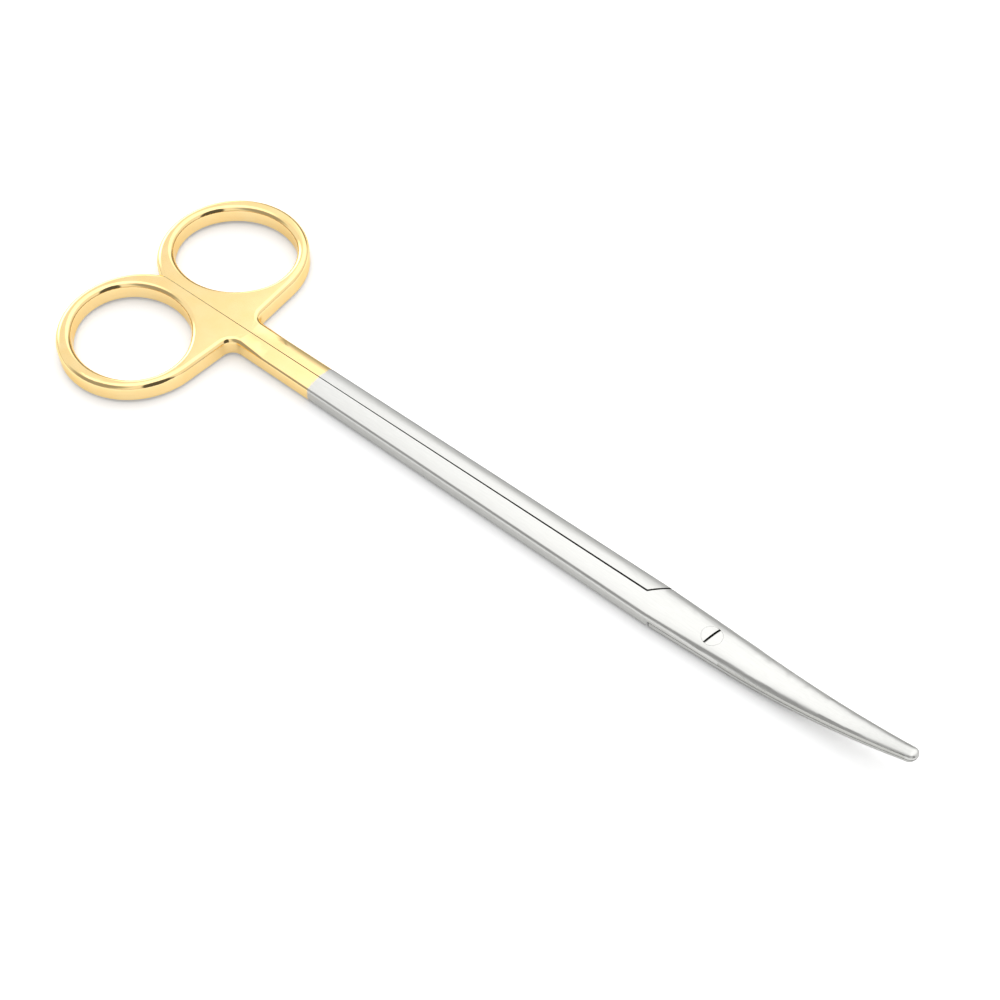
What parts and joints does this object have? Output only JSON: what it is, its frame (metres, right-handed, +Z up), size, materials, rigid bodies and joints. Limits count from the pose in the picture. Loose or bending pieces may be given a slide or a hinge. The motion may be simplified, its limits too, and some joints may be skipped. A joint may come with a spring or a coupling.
{
  "type": "dissecting scissors",
  "caption": "Dissecting scissors with long slim shanks, blunt blades curved upward, carbide cutting edges, gold-plated finger rings and a slotted joint screw.",
  "frame": {"origin": "middle of the length and width, on the surface that the closed scissors lie on", "axes": "+X along the shanks to the tips, +Y to the side of the lower half's finger ring, +Z up, the way the blades curve"},
  "size_m": [0.18, 0.0568, 0.0075],
  "materials": {
    "upper_forging": "satin stainless steel, with polished gold plating on the finger ring and the rear fifth of the shank",
    "lower_forging": "satin stainless steel, with polished gold plating on the finger ring and the rear fifth of the shank",
    "carbide": "fine-ground tungsten carbide",
    "screw_steel": "satin stainless steel, ground flush with the joint"
  },
  "bodies": {
    "lower_arm": {"lower_half": "lower_forging", "lower_carbide_edge": "carbide", "joint_screw": "screw_steel"},
    "upper_arm": {"upper_half": "upper_forging", "upper_carbide_edge": "carbide"}
  },
  "joints": [
    {"name": "scissor_joint", "type": "hinge", "parent": "lower_arm", "child": "upper_arm", "pos_m": [0.05075, -0.00072, 0.0021], "axis": [0, 0, 1], "range_deg": [0, 60]}
  ]
}
